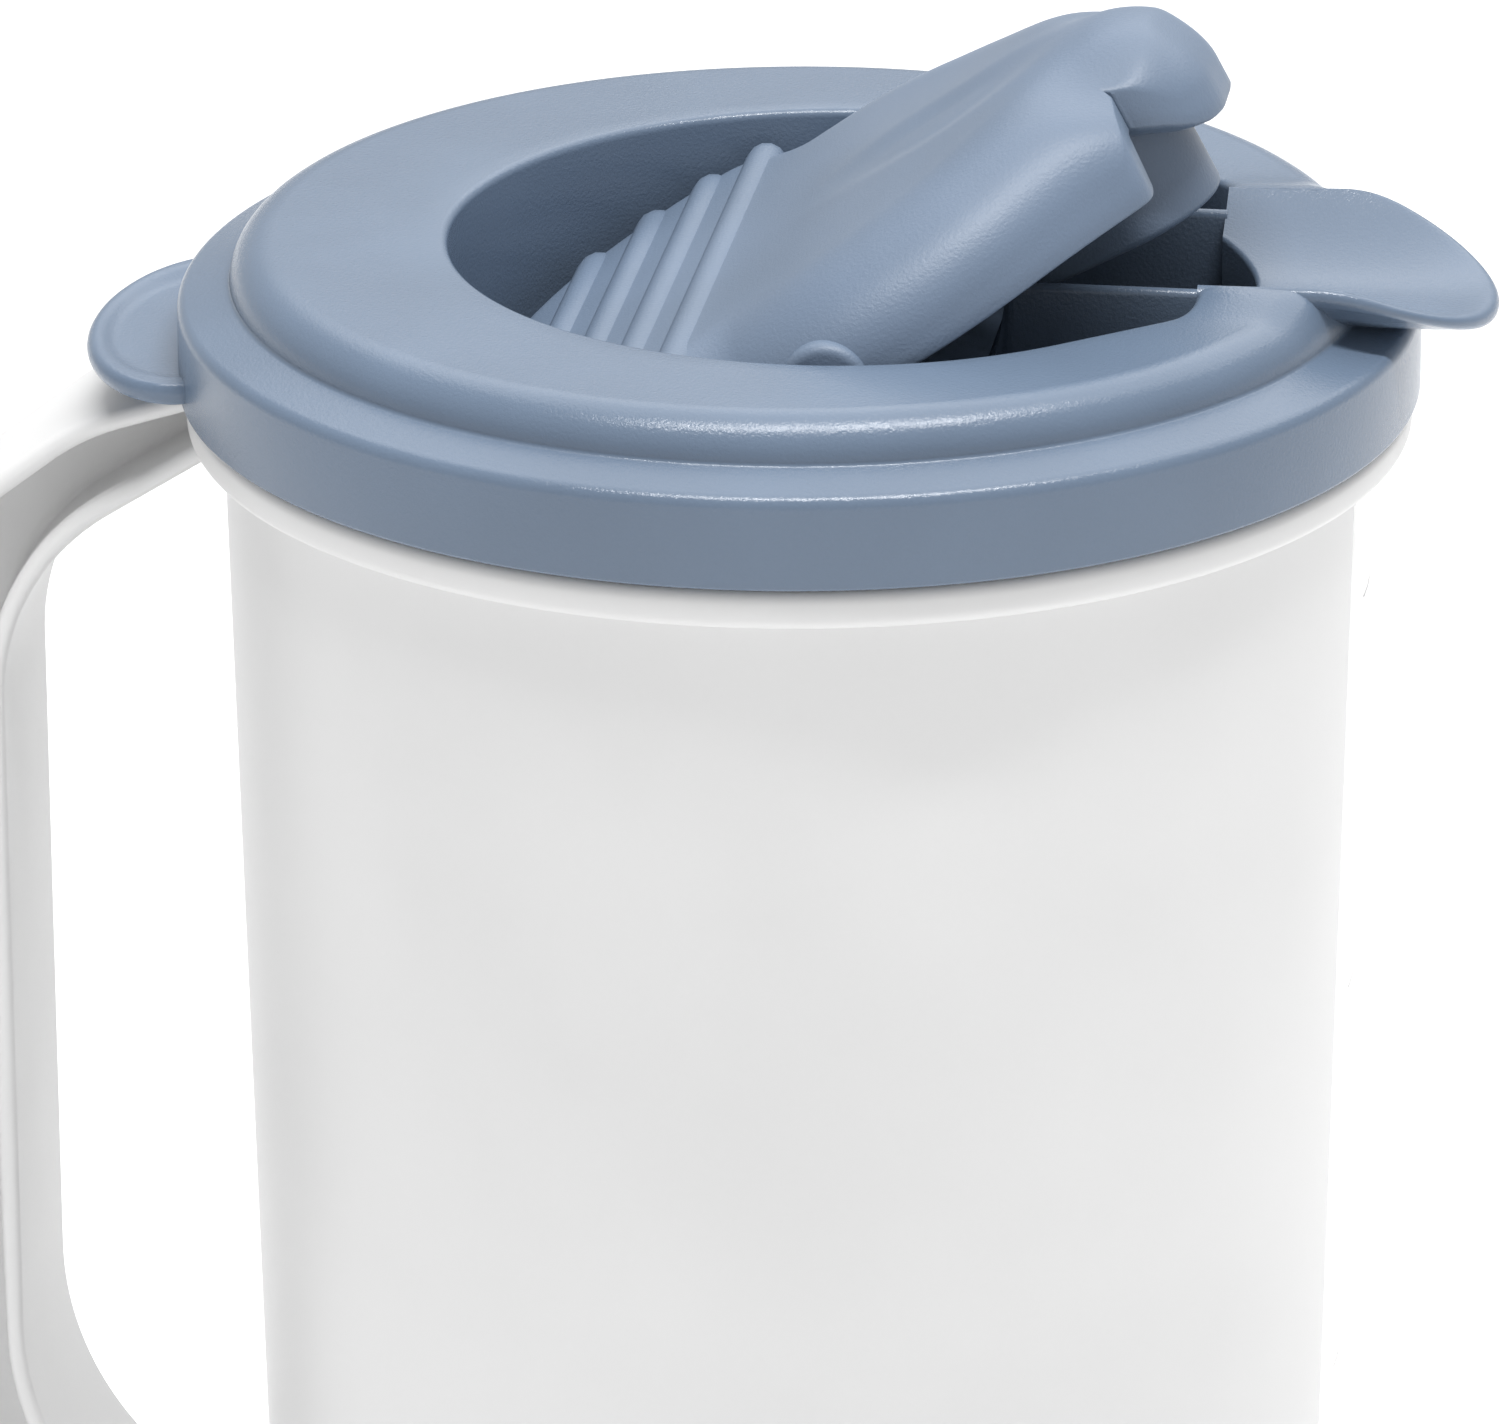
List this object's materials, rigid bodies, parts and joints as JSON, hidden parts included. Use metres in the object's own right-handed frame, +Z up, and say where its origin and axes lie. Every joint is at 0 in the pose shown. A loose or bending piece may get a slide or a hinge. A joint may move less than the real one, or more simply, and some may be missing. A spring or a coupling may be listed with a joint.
{
  "type": "drinks pitcher",
  "caption": "Round translucent plastic drinks pitcher with a moulded loop handle, a press-on lid with a dished spout and a rocking flip cover tipped open",
  "frame": {"origin": "centre of the flat base, on the surface that the pitcher stands on", "axes": "+X points the way the spout pours, +Y is the far side across the lid and parallel to the cover's pivot, +Z is up along the jug's axis"},
  "size_m": [0.175, 0.1332, 0.2423],
  "materials": {
    "jug_plastic": "translucent natural polypropylene, finely frosted with a clear strip under the spout",
    "lid_plastic": "opaque slate blue polypropylene with a soft satin gloss",
    "cover_plastic": "opaque slate blue polypropylene with a soft satin gloss"
  },
  "bodies": {
    "jug": {"jug_vessel": "jug_plastic", "jug_handle_outer_flange": "jug_plastic", "jug_handle_inner_flange": "jug_plastic", "jug_handle_web": "jug_plastic"},
    "lid": {"lid_cap": "lid_plastic", "lid_plug_ring": "lid_plastic", "lid_recess_bowl": "lid_plastic", "lid_channel": "lid_plastic", "lid_spout": "lid_plastic", "lid_thumb_tab": "lid_plastic", "lid_pivot_socket_near": "lid_plastic", "lid_pivot_socket_far": "lid_plastic"},
    "cover": {"cover_plate": "cover_plastic", "cover_tongue": "cover_plastic", "cover_plug": "cover_plastic", "cover_grip_rib_1": "cover_plastic", "cover_grip_rib_2": "cover_plastic", "cover_grip_rib_3": "cover_plastic", "cover_grip_rib_4": "cover_plastic", "cover_pivot_near": "cover_plastic", "cover_pivot_far": "cover_plastic"}
  },
  "joints": [
    {"name": "lid_lift", "type": "slide", "parent": "jug", "child": "lid", "axis": [0, 0, 1], "range_m": [0, 0.06]},
    {"name": "cover_flip", "type": "hinge", "parent": "lid", "child": "cover", "pos_m": [0.0083, 0, 0.216], "axis": [0, -1, 0], "range_deg": [-28, 2]}
  ]
}
